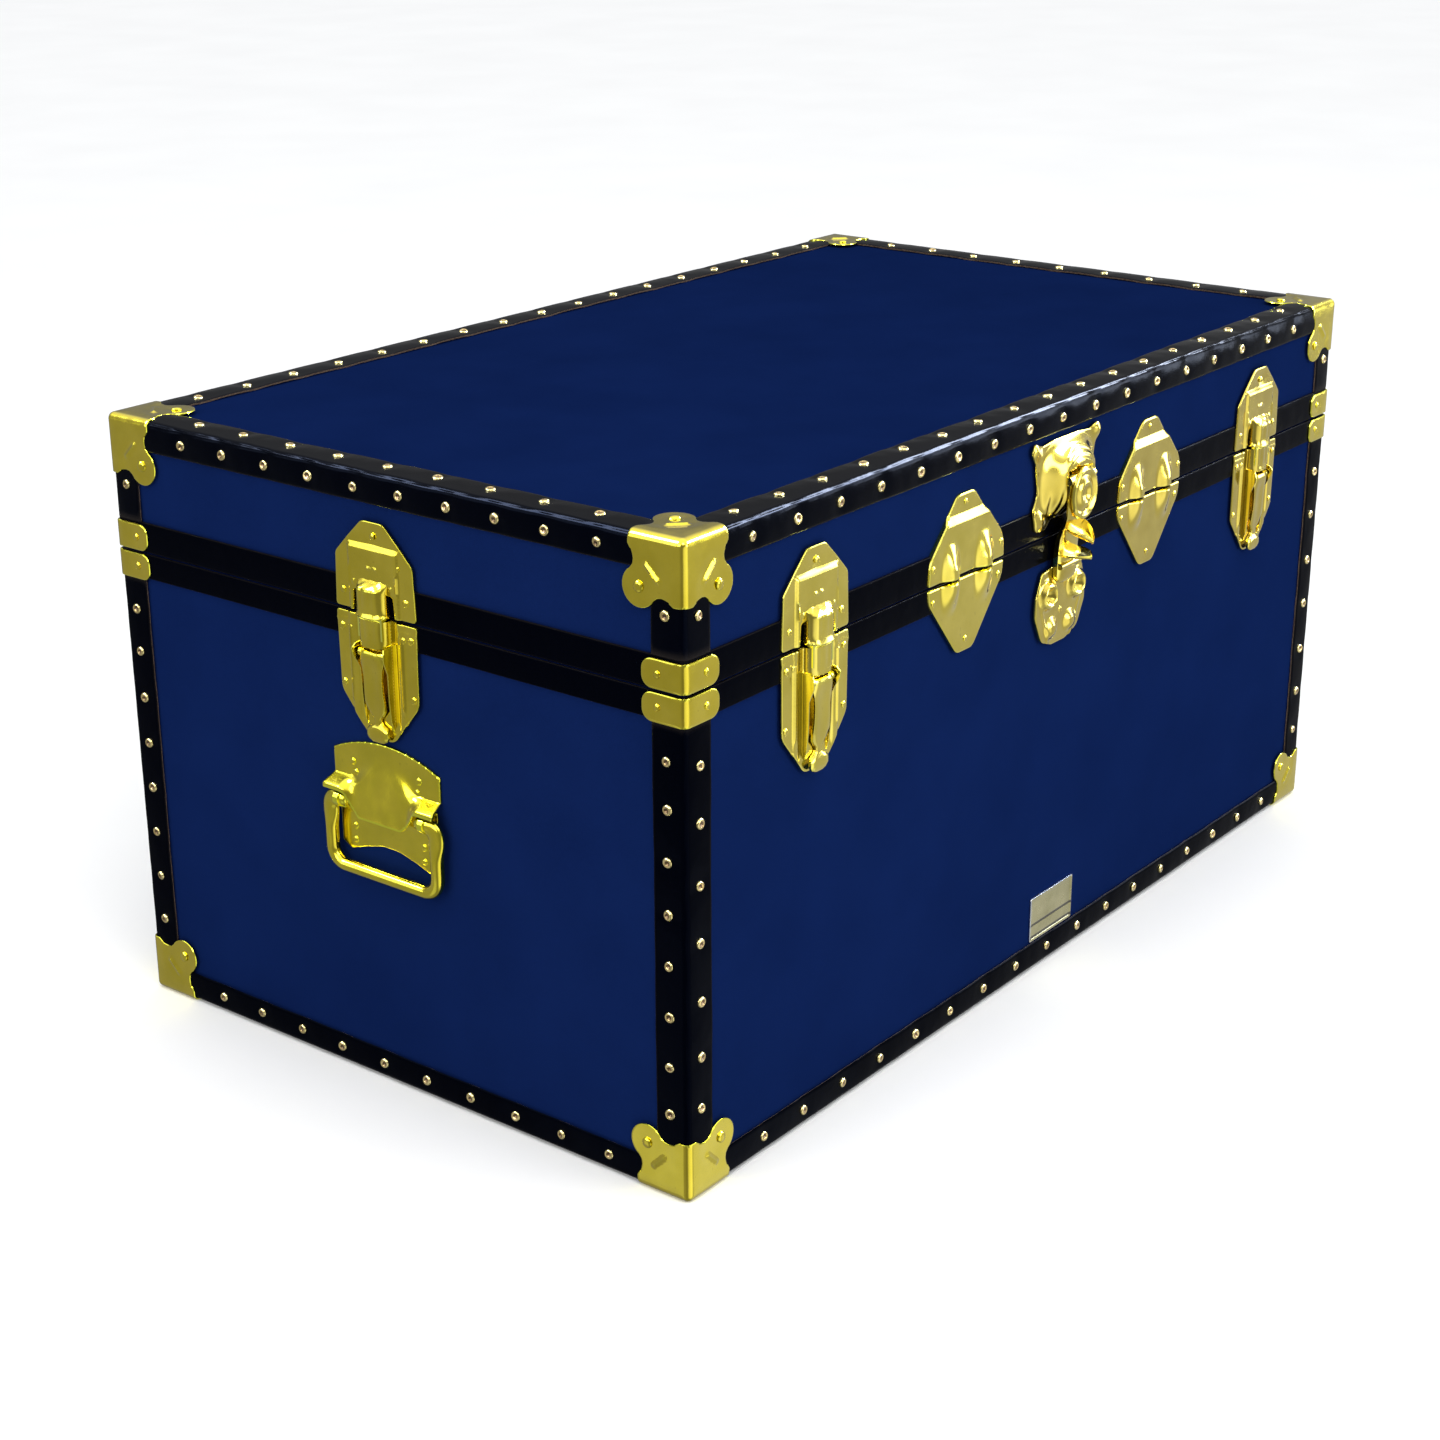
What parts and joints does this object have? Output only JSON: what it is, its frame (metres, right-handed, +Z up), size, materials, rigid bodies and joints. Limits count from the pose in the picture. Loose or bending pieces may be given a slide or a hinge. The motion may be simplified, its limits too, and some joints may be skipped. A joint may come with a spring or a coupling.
{
  "type": "steamer trunk",
  "caption": "Rectangular travelling trunk with a hinged lid, blue covered boards, black nailed edge binding, brass corner brackets, draw catches, a centre hasp lock and folding end handles.",
  "frame": {"origin": "middle of the footprint of the whole trunk, hardware included, on the plane it stands on", "axes": "+X to the right along the front, +Y to the hinged back, +Z up; the lock is on the -Y face"},
  "size_m": [0.939, 0.569, 0.4656],
  "materials": {
    "blue_covering": "satin dark blue covering glued over plywood board",
    "black_fibre": "semi-gloss black vulcanised fibre",
    "corner_brass": "polished brass plate on stamped steel",
    "hardware_brass": "polished brass plate on stamped steel",
    "handle_brass": "polished brass plate on steel",
    "hinge_brass": "polished brass plate on steel",
    "label": "pale gold sheet"
  },
  "bodies": {
    "base": {"base_floor": "blue_covering", "base_front": "blue_covering", "base_back": "blue_covering", "base_left": "blue_covering", "base_right": "blue_covering", "base_edge_binding": "black_fibre", "base_closure_band": "black_fibre", "base_bracket_front_left": "corner_brass", "base_bracket_front_right": "corner_brass", "base_bracket_back_right": "corner_brass", "base_bracket_back_left": "corner_brass", "base_clamp_front_left": "corner_brass", "base_clamp_front_right": "corner_brass", "base_clamp_back_right": "corner_brass", "base_clamp_back_left": "corner_brass", "catch_front_left_plate": "hardware_brass", "catch_front_right_plate": "hardware_brass", "catch_left_end_plate": "hardware_brass", "catch_right_end_plate": "hardware_brass", "dowel_left_base_plate": "hardware_brass", "dowel_right_base_plate": "hardware_brass", "lock_base_plate": "hardware_brass", "handle_left_plate": "handle_brass", "handle_right_plate": "handle_brass", "hinge_left_base_leaf": "hinge_brass", "hinge_right_base_leaf": "hinge_brass", "label_plate": "label"},
    "lid": {"lid_top": "blue_covering", "lid_rim": "blue_covering", "lid_edge_binding": "black_fibre", "lid_closure_band": "black_fibre", "lid_bracket_front_left": "corner_brass", "lid_bracket_front_right": "corner_brass", "lid_bracket_back_right": "corner_brass", "lid_bracket_back_left": "corner_brass", "lid_clamp_front_left": "corner_brass", "lid_clamp_front_right": "corner_brass", "lid_clamp_back_right": "corner_brass", "lid_clamp_back_left": "corner_brass", "catch_front_left_strike": "hardware_brass", "catch_front_right_strike": "hardware_brass", "catch_left_end_strike": "hardware_brass", "catch_right_end_strike": "hardware_brass", "dowel_left_lid_plate": "hardware_brass", "dowel_right_lid_plate": "hardware_brass", "lock_lid_plate": "hardware_brass", "hinge_left_lid_leaf": "hinge_brass", "hinge_right_lid_leaf": "hinge_brass"},
    "hasp": {"lock_hasp": "hardware_brass"},
    "bail_left": {"handle_left_bail": "handle_brass"},
    "bail_right": {"handle_right_bail": "handle_brass"},
    "lever_front_left": {"catch_front_left_lever": "hardware_brass"},
    "bolt_front_left": {"catch_front_left_bolt": "hardware_brass"},
    "lever_front_right": {"catch_front_right_lever": "hardware_brass"},
    "bolt_front_right": {"catch_front_right_bolt": "hardware_brass"},
    "lever_left_end": {"catch_left_end_lever": "hardware_brass"},
    "bolt_left_end": {"catch_left_end_bolt": "hardware_brass"},
    "lever_right_end": {"catch_right_end_lever": "hardware_brass"},
    "bolt_right_end": {"catch_right_end_bolt": "hardware_brass"}
  },
  "joints": [
    {"name": "lid_hinge", "type": "hinge", "parent": "base", "child": "lid", "pos_m": [0, 0.2809, 0.3635], "axis": [-1, 0, 0], "range_deg": [0, 100]},
    {"name": "catch_front_left_lever_swing", "type": "hinge", "parent": "base", "child": "lever_front_left", "pos_m": [-0.319, -0.2646, 0.337], "axis": [-1, 0, 0], "range_deg": [0, 90]},
    {"name": "catch_front_left_bolt_slide", "type": "slide", "parent": "base", "child": "bolt_front_left", "axis": [0, 0, -1], "range_m": [0, 0.0065]},
    {"name": "catch_front_right_lever_swing", "type": "hinge", "parent": "base", "child": "lever_front_right", "pos_m": [0.319, -0.2646, 0.337], "axis": [-1, 0, 0], "range_deg": [0, 90]},
    {"name": "catch_front_right_bolt_slide", "type": "slide", "parent": "base", "child": "bolt_front_right", "axis": [0, 0, -1], "range_m": [0, 0.0065]},
    {"name": "catch_left_end_lever_swing", "type": "hinge", "parent": "base", "child": "lever_left_end", "pos_m": [-0.4626, 0.0087, 0.337], "axis": [0, 1, 0], "range_deg": [0, 90]},
    {"name": "catch_left_end_bolt_slide", "type": "slide", "parent": "base", "child": "bolt_left_end", "axis": [0, 0, -1], "range_m": [0, 0.0065]},
    {"name": "catch_right_end_lever_swing", "type": "hinge", "parent": "base", "child": "lever_right_end", "pos_m": [0.4626, 0.0087, 0.337], "axis": [0, -1, 0], "range_deg": [0, 90]},
    {"name": "catch_right_end_bolt_slide", "type": "slide", "parent": "base", "child": "bolt_right_end", "axis": [0, 0, -1], "range_m": [0, 0.0065]},
    {"name": "hasp_swing", "type": "hinge", "parent": "lid", "child": "hasp", "pos_m": [0, -0.2735, 0.4075], "axis": [-1, 0, 0], "range_deg": [0, 90]},
    {"name": "bail_left_swing", "type": "hinge", "parent": "base", "child": "bail_left", "pos_m": [-0.4622, 0.0087, 0.2205], "axis": [0, 1, 0], "range_deg": [0, 90]},
    {"name": "bail_right_swing", "type": "hinge", "parent": "base", "child": "bail_right", "pos_m": [0.4622, 0.0087, 0.2205], "axis": [0, -1, 0], "range_deg": [0, 90]}
  ],
  "couplings": [
    {"joint": "catch_front_left_bolt_slide", "follows": "catch_front_left_lever_swing", "m_per_rad": 0.004138},
    {"joint": "catch_front_right_bolt_slide", "follows": "catch_front_right_lever_swing", "m_per_rad": 0.004138},
    {"joint": "catch_left_end_bolt_slide", "follows": "catch_left_end_lever_swing", "m_per_rad": 0.004138},
    {"joint": "catch_right_end_bolt_slide", "follows": "catch_right_end_lever_swing", "m_per_rad": 0.004138}
  ]
}
